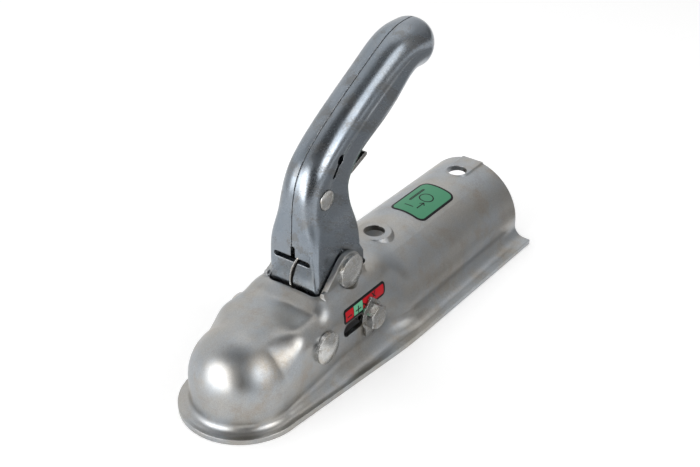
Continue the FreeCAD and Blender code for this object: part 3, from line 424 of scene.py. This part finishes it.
def fastener_zinc(settings, name, brightness, wave=0.4):
    """Bright zinc of rivets, bolt and washers, mottled with small dark pits."""
    material, tree, shader, where = new_material(name)
    base = tuple(value * brightness for value in settings.plate)
    cool = tuple(value * 0.86 for value in base)
    warm = tuple(value * tone for value, tone in zip(base, (0.80, 0.74, 0.66)))
    clouds = use_group(tree, "plating clouds", Coordinates=where, Base=rgba(base), Cool=rgba(cool),
                       Warm=rgba(warm), Patch_size=7 * mm, Speckle_size=0.5 * mm, Speckle=0.10)
    pits = use_group(tree, "tarnish", Coordinates=where, Fleck_size=0.9 * mm, Patch_size=5 * mm, Cover=0.48)
    edges = use_group(tree, "rubbed edges", Coordinates=where, Radius=settings.edge_radius)
    grain = use_group(tree, "pressed grain", Coordinates=where, Grain_size=0.7 * mm, Grain=0.16,
                      Wave_size=4.5 * mm, Wave=wave)
    tint = tinted(tree, clouds["Colour"], (pits["Mask"], 0.35, settings.pit),
                  (edges["Mask"], 0.4, settings.rubbed))
    rough = calc(tree, "MULTIPLY_ADD", pits["Mask"], 0.14, settings.roughness)
    finish_metal(tree, shader, tint, rough, grain["Height"], edges["Normal"], 0.10 * mm)
    return material


def oiled_metal(name, tone, roughness, cast):
    """Dark oiled steel, or a greased casting with a coarser skin."""
    material, tree, shader, where = new_material(name)
    lighter = tuple(value * 1.5 for value in tone)
    rust = (tone[0] * 1.3, tone[1] * 0.9, tone[2] * 0.7)
    rubbed = (0.4, 0.39, 0.38)
    clouds = use_group(tree, "plating clouds", Coordinates=where, Base=rgba(tone), Cool=rgba(lighter),
                       Warm=rgba(rust), Patch_size=9 * mm, Speckle_size=0.6 * mm, Speckle=0.2)
    edges = use_group(tree, "rubbed edges", Coordinates=where, Radius=0.4 * mm)
    grain = use_group(tree, "pressed grain", Coordinates=where, Grain_size=(0.9 if cast else 0.5) * mm,
                      Grain=0.7 if cast else 0.15, Wave_size=5 * mm, Wave=0.8)
    tint = tinted(tree, clouds["Colour"], (edges["Mask"], 0.5, rubbed))
    rough = spread(tree, clouds["Cloud"], 0.3, 0.7, roughness - 0.08, roughness + 0.12)
    finish_metal(tree, shader, tint, rough, grain["Height"], edges["Normal"], 0.12 * mm)
    return material


def film_material(name, settings, colour_of):
    """Printed film: the print is painted by colour_of, over small creases and rubbed spots."""
    material, tree, shader, where = new_material(name)
    rub = use_group(tree, "tarnish", Coordinates=where, Fleck_size=1.2 * mm, Patch_size=9 * mm,
                    Cover=0.42)
    print_colour = tinted(tree, colour_of(tree, where), (rub["Mask"], 0.06, settings.rub))
    shader.inputs["Specular IOR Level"].default_value = settings.gloss
    creases = use_group(tree, "pressed grain", Coordinates=where, Grain_size=0.8 * mm, Grain=0.12,
                        Wave_size=5 * mm, Wave=0.5)
    bump = put(tree, "Bump", {"Height": creases["Height"], "Distance": 0.08 * mm})
    worn = calc(tree, "MULTIPLY_ADD", rub["Mask"], 0.2, settings.roughness)
    tree.links.new(print_colour, shader.inputs["Base Color"])
    tree.links.new(worn, shader.inputs["Roughness"])
    tree.links.new(bump.outputs[0], shader.inputs["Normal"])
    return material


def painted(tree, under, along, up, shapes):
    """Paints shapes, each (colour, sizes), over a colour. Along and up are the places in the print."""
    for ink, sizes in shapes:
        shape = use_group(tree, "rounded patch", Along=along, Up=up, **sizes)
        under = mixed(tree, shape["Mask"], under, rgba(ink))
    return under


def patch(centre, half, corner=0.0, turn=0.0):
    return {"Centre_along": centre[0], "Centre_up": centre[1], "Half_along": half[0], "Half_up": half[1],
            "Corner": corner, "Turn": turn}


def indicator_print(settings):
    """Red, mint and red fields with minus, plus and cross signs, in a black border, and a black diagonal
    line that is a painted shadow of the pointer washer.
    """
    low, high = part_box("indicator_label")
    border = settings.border
    corner = 2.2 * mm
    middle = ((low.x + high.x) / 2, (low.z + high.z) / 2)
    half = ((high.x - low.x) / 2 - border, (high.z - low.z) / 2 - border)
    mint_front, mint_rear = -58.3 * mm, -66.4 * mm
    mint_middle = ((mint_front + mint_rear) / 2, middle[1])
    mint_half = ((mint_front - mint_rear) / 2, half[1])
    mint_rim, mint_inset = 0.3 * mm, 0.1 * mm
    sign_up = middle[1] - 0.7 * mm
    stroke = 0.42 * mm
    minus_x, minus_half = -54.4 * mm, 1.9 * mm
    plus_half = (2.5 * mm, 2.3 * mm)
    cross, cross_half, cross_turn = (-76.6 * mm, 19.3 * mm), 2.4 * mm, radians(50)
    # Black diagonal line along the pointer washer's edge: a painted shadow of the pointer, not part of the
    # print
    pointer_shadow_middle, pointer_shadow_half, pointer_shadow_turn = (-69.9 * mm, 16.7 * mm), 4.4 * mm, radians(34)

    def colour_of(tree, where):
        parts = put(tree, "SeparateXYZ", {0: where}).outputs
        black = settings.black
        shapes = [(settings.red, patch(middle, half, corner - border)),
                  (black, patch(mint_middle, (mint_half[0] + mint_rim, mint_half[1]))),
                  (settings.mint, patch(mint_middle, (mint_half[0] - mint_inset, mint_half[1]))),
                  (black, patch((minus_x, sign_up), (minus_half, stroke))),
                  (black, patch((mint_middle[0], sign_up), (plus_half[0], stroke))),
                  (black, patch((mint_middle[0], sign_up), (stroke, plus_half[1]))),
                  (black, patch(cross, (cross_half, stroke), 0.0, cross_turn)),
                  (black, patch(cross, (cross_half, stroke), 0.0, -cross_turn)),
                  # painted shadow of the pointer washer, drawn as a black line
                  (black, patch(pointer_shadow_middle, (pointer_shadow_half, stroke), 0.0, -pointer_shadow_turn))]
        return painted(tree, rgba(black), parts[0], parts[2], shapes)
    return colour_of


def notice_print(settings):
    """Green film with a ring, a bar, a post and an arrow of its own design."""
    low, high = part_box("notice_label")
    film = 0.15 * mm
    tube_z = high.z - film - settings.tube_radius
    lean, half_turn = radians(4.4), radians(21)
    border = settings.border
    corner = 5.0 * mm
    centre_x = (low.x + high.x) / 2
    half = ((high.x - low.x) / 2, settings.tube_radius * sin(half_turn))
    stroke = settings.stroke / 2
    ring, ring_r = (-3.0 * mm, 0.6 * mm), 4.6 * mm
    bar, bar_half = (-3.0 * mm, -6.2 * mm), (8.0 * mm, 0.9 * mm)
    shaft, shaft_half = (6.5 * mm, 2.6 * mm), 4.0 * mm
    barb_x, barb_rise, barb_half, barb_turn = 3.9 * mm, 0.8 * mm, (1.5 * mm, 0.35 * mm), radians(38)
    post, post_half = (10.6 * mm, -3.0 * mm), 3.0 * mm

    def colour_of(tree, where):
        parts = put(tree, "SeparateXYZ", {0: where}).outputs
        along = calc(tree, "SUBTRACT", parts[0], centre_x)
        across = calc(tree, "MULTIPLY", parts[1], cos(lean))
        level = calc(tree, "MULTIPLY", calc(tree, "SUBTRACT", parts[2], tube_z), sin(lean))
        up = calc(tree, "SUBTRACT", across, level)
        black, green = settings.black, settings.green
        inner_r = ring_r - 2 * stroke
        bar_inner = (bar_half[0] - 2 * stroke, bar_half[1] - 2 * stroke)
        shapes = [(green, patch((0, 0), (half[0] - border, half[1] - border), corner - border)),
                  (black, patch(ring, (ring_r, ring_r), ring_r)),
                  (green, patch(ring, (inner_r, inner_r), inner_r)),
                  (black, patch(bar, bar_half, bar_half[1])),
                  (green, patch(bar, bar_inner, bar_inner[1])),
                  (black, patch(shaft, (shaft_half, stroke))),
                  (black, patch((barb_x, shaft[1] + barb_rise), barb_half, 0.0, -barb_turn)),
                  (black, patch((barb_x, shaft[1] - barb_rise), barb_half, 0.0, barb_turn)),
                  (black, patch(post, (stroke, post_half)))]
        return painted(tree, rgba(black), along, up, shapes)
    return colour_of


# Meshes

def new_piece(name, vertices, faces, material, body):
    mesh = bpy.data.meshes.new(name)
    mesh.from_pydata(vertices, [], faces)
    mesh.validate()
    mesh.shade_smooth()
    mesh.materials.append(material)
    piece = bpy.data.objects.new(name, mesh)
    bpy.context.scene.collection.objects.link(piece)
    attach(piece, body)


def dress(material, *nodes):
    """Gives CAD nodes a material in place of their plain one."""
    for node in nodes:
        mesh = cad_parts[node].data
        mesh.materials.clear()
        mesh.materials.append(material)


def thread_mesh(x, z, radius, depth, pitch, start, end):
    """Closed helical ridge of V section around an axis across the head."""
    steps_per_turn, fade_steps = 40, 12
    steps = int(abs(end - start) / pitch * steps_per_turn)
    forward = 1 if end > start else -1
    base, sunk = 0.42 * pitch, 0.1 * depth
    vertices = []
    for step in range(steps + 1):
        turn = 2 * pi * step / steps_per_turn
        y = start + forward * pitch * step / steps_per_turn
        fade = min(1.0, step / fade_steps, (steps - step) / fade_steps)
        for across, out in ((-base, -depth), (0.0, depth * fade - sunk), (base, -depth)):
            r = radius + out
            vertices.append((x + r * cos(turn), y + forward * across, z + r * sin(turn)))
    faces = []
    for step in range(steps):
        for side in range(3):
            a = 3 * step + side
            b = 3 * step + (side + 1) % 3
            faces.append((a, b, b + 3, a + 3))
    last = 3 * steps
    faces += [(0, 2, 1), (last, last + 1, last + 2)]
    return vertices, faces


def strip_mesh(points, radius, sides=12):
    """Closed round strip through points in a plane across the head, thinner at its ends."""
    end_share = 0.55
    vertices = []
    for i, point in enumerate(points):
        before, after = points[max(i - 1, 0)], points[min(i + 1, len(points) - 1)]
        along = (after - before).normalized()
        across = along.cross(Vector((1, 0, 0)))
        r = radius * (end_share if i in (0, len(points) - 1) else 1.0)
        for k in range(sides):
            turn = 2 * pi * k / sides
            vertices.append(point + across * (r * cos(turn)) + Vector((r * sin(turn), 0, 0)))
    faces = []
    for i in range(len(points) - 1):
        for k in range(sides):
            a, b = i * sides + k, i * sides + (k + 1) % sides
            faces.append((a, b, b + sides, a + sides))
    last = (len(points) - 1) * sides
    faces += [tuple(reversed(range(sides))), tuple(range(last, last + sides))]
    return vertices, faces


def smooth_points(points, steps=6):
    """Points along a smooth curve through the given ones."""
    ends = [points[0], *points, points[-1]]
    smooth = []
    for before, one, two, after in zip(ends, ends[1:], ends[2:], ends[3:]):
        for step in range(steps):
            t = step / steps
            bend = 2 * before - 5 * one + 4 * two - after
            twist = 3 * one - before - 3 * two + after
            smooth.append(0.5 * (2 * one + (two - before) * t + bend * t ** 2 + twist * t ** 3))
    return smooth + [points[-1]]


# Folded edge of the near flap, beside the gap: across and up, in the plane of the handle's front
flap_edge_plane = -42.9 * mm
flap_edge_places = [(4.2, 51.2), (1.9, 47.3), (-0.2, 42.7), (-1.35, 37.8), (-1.45, 33.4), (-0.9, 29.5)]
flap_edge = smooth_points([Vector((flap_edge_plane, y * mm, z * mm)) for y, z in flap_edge_places])


def ring_mesh(x, z, profile, steps=64):
    """Closed ring about an axis across the head, from an outline of (radius, y)."""
    count = len(profile)
    vertices = []
    for step in range(steps):
        turn = 2 * pi * step / steps
        vertices += [(x + r * cos(turn), y, z + r * sin(turn)) for r, y in profile]
    faces = []
    for step in range(steps):
        following = (step + 1) % steps
        for k in range(count):
            m = (k + 1) % count
            faces.append((step * count + k, step * count + m, following * count + m, following * count + k))
    return vertices, faces


# Operators

class COUPLING_OT_stage(Operator):
    """Builds the floor, the room, the lamps, the card beside the head and the camera"""
    bl_idname = "coupling.stage"
    bl_label = "Stage"

    def execute(self, context):
        settings = context.scene.coupling_stage
        build_floor(settings)
        build_room(settings)
        build_lamps(settings)
        build_flag(settings)
        build_camera(settings)
        context.scene.view_settings.view_transform = "Standard"
        return {"FINISHED"}


def build_floor(settings):
    """White floor with light of its own, which fades out under the head as painted shade there."""
    half = settings.floor_width / 2
    level = cad_box[0].z
    middle = (cad_box[0] + cad_box[1]) / 2
    mesh = bpy.data.meshes.new("floor")
    corners = ((-half, -half), (half, -half), (half, half), (-half, half))
    mesh.from_pydata([(middle.x + x, middle.y + y, level) for x, y in corners], [], [(0, 1, 2, 3)])
    floor = bpy.data.objects.new("floor", mesh)
    bpy.context.scene.collection.objects.link(floor)
    material, tree, shader, where = new_material("floor")
    shader.inputs["Base Color"].default_value = rgba(settings.floor_colour)
    shader.inputs["Roughness"].default_value = 0.9
    shader.inputs["Specular IOR Level"].default_value = 0.0
    shader.inputs["Emission Color"].default_value = (1, 1, 1, 1)
    parts = put(tree, "SeparateXYZ", {0: where}).outputs
    fade, margin, shaded = 26 * mm, 8 * mm, 20 * mm
    reach = (cad_box[1].x - cad_box[0].x) / 2 - fade / 2 - margin
    # The glow drops to nothing in a rounded patch under the head: painted shade under the head, which keeps
    # the floor dark where it is seen through the head's holes
    under = use_group(tree, "rounded patch", Along=parts[0], Up=parts[1], Blur=fade,
                      **patch(middle, (reach, shaded), shaded))
    lit = calc(tree, "MULTIPLY", seen_directly(tree), calc(tree, "SUBTRACT", 1.0, under["Mask"]))
    tree.links.new(calc(tree, "MULTIPLY", lit, settings.floor_glow), shader.inputs["Emission Strength"])
    mesh.materials.append(material)


def seen_directly(tree):
    """1 for rays of the camera, of reflections and through glass."""
    path = put(tree, "LightPath").outputs
    seen = calc(tree, "MAXIMUM", path["Is Camera Ray"], path["Is Glossy Ray"])
    return calc(tree, "MAXIMUM", seen, path["Is Transmission Ray"])


def towards(azimuth, elevation):
    """Unit vector at an azimuth from +X and an elevation, in degrees."""
    a, e = radians(azimuth), radians(elevation)
    return Vector((cos(a) * cos(e), sin(a) * cos(e), sin(e)))


def patch_of_room(tree, direction, azimuth, elevation, half_width, half_height, softness):
    """Mask of an oval part of the room, seen from the head. Angles are in degrees."""
    out = towards(azimuth, elevation)
    right = Vector((-out.y, out.x, 0.0)).normalized()
    up = out.cross(right)
    reaches = []
    for axis, half in ((right, half_width), (up, half_height)):
        aside = put(tree, "VectorMath", {0: direction, 1: axis}, operation="DOT_PRODUCT").outputs["Value"]
        reaches.append(calc(tree, "DIVIDE", aside, sin(radians(half))))
    flat = put(tree, "CombineXYZ", {0: reaches[0], 1: reaches[1]}).outputs[0]
    reach = put(tree, "VectorMath", {0: flat}, operation="LENGTH").outputs["Value"]
    ahead = put(tree, "VectorMath", {0: direction, 1: out}, operation="DOT_PRODUCT").outputs["Value"]
    inside = spread(tree, reach, 1.0 - softness, 1.0 + softness, 1.0, 0.0)
    return calc(tree, "MULTIPLY", inside, calc(tree, "GREATER_THAN", ahead, 0.0))


def build_room(settings):
    """White behind the head. Reflections show softboxes, pale walls and the dark side of the camera."""
    world = bpy.data.worlds.new("room")
    bpy.context.scene.world = world
    world.use_nodes = True
    world.cycles.sampling_method = "NONE"
    tree = world.node_tree
    background = tree.nodes["Background"]
    direction = put(tree, "TexCoord").outputs["Generated"]
    studio = (settings.wall_level,) * 3 + (1.0,)
    for azimuth, elevation, half_width, half_height, softness, level in room_patches(settings):
        mask = patch_of_room(tree, direction, azimuth, elevation, half_width, half_height, softness)
        studio = mixed(tree, mask, studio, (level, level, level, 1.0))
    path = put(tree, "LightPath").outputs
    fill = settings.room_level
    seen = mixed(tree, calc(tree, "MAXIMUM", path["Is Glossy Ray"], path["Is Transmission Ray"]),
                 (fill, fill, fill, 1.0), studio)
    seen = mixed(tree, path["Is Camera Ray"], seen, (1, 1, 1, 1))
    tree.links.new(seen, background.inputs["Color"])
    background.inputs["Strength"].default_value = 1.0


def room_patches(settings):
    """Azimuth, elevation, half width, half height, softness and level of what reflections show."""
    bright = settings.softbox_level
    return [(-112.0, 20.0, 60.0, 56.0, 0.35, 0.95),
            (-156.0, 62.0, 30.0, 18.0, 0.45, 1.20),
            (38.0, 16.0, 26.0, 30.0, 0.40, 0.06),
            (30.0, 74.0, 40.0, 18.0, 0.50, 0.12),
            (160.0, 0.0, 24.0, 20.0, 0.50, 0.22),
            (-16.0, 20.0, 24.0, 22.0, 0.32, bright),
            (2.0, 8.0, 12.0, 12.0, 0.35, bright),
            (88.0, 29.0, 16.0, 18.0, 0.28, bright),
            (97.0, 43.0, 14.0, 14.0, 0.40, bright * 0.55)]


def build_lamps(settings):
    """Three lamps for the films and the shadow: name, azimuth, elevation, size, share of the level."""
    target = (cad_box[0] + cad_box[1]) / 2
    lamps = [("front_lamp", -14.0, 35.0, 0.45, 0.8),
             ("side_lamp", 103.0, 38.0, 0.60, 1.0),
             ("rear_lamp", -100.0, 57.0, 0.60, 1.0)]
    for name, azimuth, elevation, size, share_of in lamps:
        out = towards(azimuth, elevation)
        lamp = bpy.data.lights.new(name, "AREA")
        lamp.shape = "DISK"
        lamp.size = size
        lamp.energy = settings.lamp_level * share_of
        holder = bpy.data.objects.new(name, lamp)
        holder.location = target + out * settings.lamp_distance
        holder.rotation_mode = "QUATERNION"
        holder.rotation_quaternion = out.to_track_quat("Z", "Y")
        holder.visible_glossy = False
        bpy.context.scene.collection.objects.link(holder)


def build_flag(settings):
    """Grey card beside the head that only reflections show, so that its sides read against the floor."""
    low, high = cad_box
    near = high.y + settings.flag_gap
    level = low.z + 0.5 * mm
    front, rear = high.x - settings.flag_short, low.x - settings.flag_reach
    far = near + settings.flag_width
    corners = [(rear, near), (front, near), (front, far), (rear, far)]
    mesh = bpy.data.meshes.new("flag")
    mesh.from_pydata([(x, y, level) for x, y in corners], [], [(0, 1, 2, 3)])
    material = bpy.data.materials.new("flag")
    material.use_nodes = True
    tree = material.node_tree
    tree.nodes["Principled BSDF"].inputs["Base Color"].default_value = rgba(settings.flag_colour)
    tree.nodes["Principled BSDF"].inputs["Roughness"].default_value = 1.0
    mesh.materials.append(material)
    flag = bpy.data.objects.new("flag", mesh)
    for way in ("camera", "diffuse", "shadow", "transmission"):
        setattr(flag, "visible_" + way, False)
    bpy.context.scene.collection.objects.link(flag)


def build_camera(settings):
    a, e = settings.camera_azimuth, settings.camera_elevation
    back = Vector((sin(a) * cos(e), -cos(a) * cos(e), sin(e)))
    right = Vector((cos(a), sin(a), 0.0))
    up = back.cross(right)
    turned = Matrix((right, up, back)).transposed() @ Matrix.Rotation(settings.camera_roll, 3, "Z")
    data = bpy.data.cameras.new("camera")
    data.lens = settings.camera_lens
    data.sensor_width = 36.0
    data.clip_start = 0.01
    camera = bpy.data.objects.new("camera", data)
    camera.matrix_world = Matrix.Translation(settings.camera_place) @ turned.to_4x4()
    bpy.context.scene.collection.objects.link(camera)
    bpy.context.scene.camera = camera


class COUPLING_OT_housing(Operator):
    """Plates the pressed housing"""
    bl_idname = "coupling.housing"
    bl_label = "Housing"

    def execute(self, context):
        dress(pressed_zinc(context.scene.coupling_housing), "housing")
        return {"FINISHED"}


class COUPLING_OT_handle(Operator):
    """Plates the handle and its safety catch, and adds the bright folded edge between its front flaps"""
    bl_idname = "coupling.handle"
    bl_label = "Handle"

    def execute(self, context):
        dress(handle_zinc(context.scene.coupling_handle), "handle_shell")
        dress(fastener_zinc(context.scene.coupling_fasteners, "trigger_zinc", 0.8), "trigger")
        edge = fastener_zinc(context.scene.coupling_fasteners, "folded_edge", 1.2)
        vertices, faces = strip_mesh(flap_edge, context.scene.coupling_handle.fold_radius)
        new_piece("flap_edge", vertices, faces, edge, "handle")
        return {"FINISHED"}


class COUPLING_OT_fasteners(Operator):
    """Plates rivets, bolt, washers and nut, and adds the bolt's thread and the nut's plastic ring"""
    bl_idname = "coupling.fasteners"
    bl_label = "Fasteners"

    def execute(self, context):
        settings = context.scene.coupling_fasteners
        hammered = fastener_zinc(settings, "rivet_steel", 1.2, 0.55)
        bright = fastener_zinc(settings, "bolt_steel", 1.0)
        dull = fastener_zinc(settings, "washer_steel", 0.72)
        dress(hammered, "pivot_rivet", "cup_rivet", "trigger_rivet")
        dress(bright, "indicator_bolt", "lock_nut")
        dress(dull, "pointer_washer", "plain_washer", "pivot_bushes", "catch_spacers", "cup_spacers",
              "bolt_sleeve", "spring_stud")
        build_thread(settings, bright)
        build_nut_insert(settings)
        return {"FINISHED"}


def nut_place():
    """The nut's axis, across and up, and the place of its outer face."""
    low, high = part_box("lock_nut")
    return (low.x + high.x) / 2, (low.z + high.z) / 2, low.y


def build_thread(settings, material):
    x, z, nut_face = nut_place()
    bolt_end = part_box("indicator_bolt")[0].y
    shank_r, in_nut, chamfer = 4.0 * mm, 0.5 * mm, 0.6 * mm
    vertices, faces = thread_mesh(x, z, shank_r, settings.thread_depth, settings.thread_pitch,
                                  nut_face + in_nut, bolt_end + chamfer)
    new_piece("bolt_thread", vertices, faces, material, "slider")


def build_nut_insert(settings):
    x, z, nut_face = nut_place()
    material, tree, shader, where = new_material("nut_insert")
    clouds = use_group(tree, "plating clouds", Coordinates=where, Base=rgba(settings.nut_insert),
                       Cool=rgba(tuple(value * 0.8 for value in settings.nut_insert)),
                       Warm=rgba(tuple(value * 1.2 for value in settings.nut_insert)),
                       Patch_size=2 * mm, Speckle_size=0.3 * mm, Speckle=0.1)
    tree.links.new(clouds["Colour"], shader.inputs["Base Color"])
    shader.inputs["Roughness"].default_value = 0.5
    bore_r, outer_r = 4.15 * mm, 5.8 * mm
    inner_land, outer_land = 4.5 * mm, 5.4 * mm
    root, shoulder = nut_face + 0.3 * mm, nut_face - 0.5 * mm
    face = shoulder - 0.15 * mm
    profile = [(bore_r, root), (bore_r, shoulder), (inner_land, face),
               (outer_land, face), (outer_r, shoulder), (outer_r, root)]
    vertices, faces = ring_mesh(x, z, profile)
    new_piece("nut_insert", vertices, faces, material, "slider")


class COUPLING_OT_films(Operator):
    """Prints the two films"""
    bl_idname = "coupling.films"
    bl_label = "Films"

    def execute(self, context):
        settings = context.scene.coupling_films
        dress(film_material("indicator_film", settings, indicator_print(settings)), "indicator_label")
        dress(film_material("notice_film", settings, notice_print(settings)), "notice_label")
        return {"FINISHED"}


class COUPLING_OT_mechanism(Operator):
    """Oils the slider, the disc, the springs and the ball cup"""
    bl_idname = "coupling.mechanism"
    bl_label = "Mechanism"

    def execute(self, context):
        settings = context.scene.coupling_mechanism
        dark = oiled_metal("dark_steel", settings.steel, settings.roughness, False)
        dress(dark, "push_block", "catch_plate", "spring_bracket")
        dress(oiled_metal("cast_cup", settings.casting, settings.roughness + 0.08, True), "ball_cup")
        dress(oiled_metal("spring_wire", settings.wire, settings.roughness, False),
              "closing_spring", "cup_spring", "trigger_spring")
        return {"FINISHED"}


class COUPLING_PT_pieces(Panel):
    """Lists the pieces of the coupling head"""
    bl_idname = "COUPLING_PT_pieces"
    bl_label = "Coupling head"
    bl_space_type = "VIEW_3D"
    bl_region_type = "UI"
    bl_category = "Coupling"

    def draw(self, context):
        for operator, group in zip(operators, groups):
            box = self.layout.box()
            box.operator(operator.bl_idname)
            settings = getattr(context.scene, group)
            for name in settings.bl_rna.properties.keys():
                if name not in ("rna_type", "name"):
                    box.prop(settings, name)


operators = (COUPLING_OT_stage, COUPLING_OT_housing, COUPLING_OT_handle, COUPLING_OT_fasteners,
             COUPLING_OT_films, COUPLING_OT_mechanism)
groups = {"coupling_stage": StageSettings, "coupling_housing": HousingSettings,
          "coupling_handle": HandleSettings, "coupling_fasteners": FastenerSettings,
          "coupling_films": FilmSettings, "coupling_mechanism": MechanismSettings}


def register():
    for settings in groups.values():
        bpy.utils.register_class(settings)
    for item in (*operators, COUPLING_PT_pieces):
        bpy.utils.register_class(item)
    for name, settings in groups.items():
        setattr(bpy.types.Scene, name, PointerProperty(type=settings))


def unregister():
    for name in groups:
        delattr(bpy.types.Scene, name)
    for item in (COUPLING_PT_pieces, *reversed(operators), *reversed(list(groups.values()))):
        bpy.utils.unregister_class(item)


def main():
    register()
    bpy.ops.coupling.stage()
    bpy.ops.coupling.housing()
    bpy.ops.coupling.handle()
    bpy.ops.coupling.fasteners()
    bpy.ops.coupling.films()
    bpy.ops.coupling.mechanism()


if __name__ == "__main__":
    main()
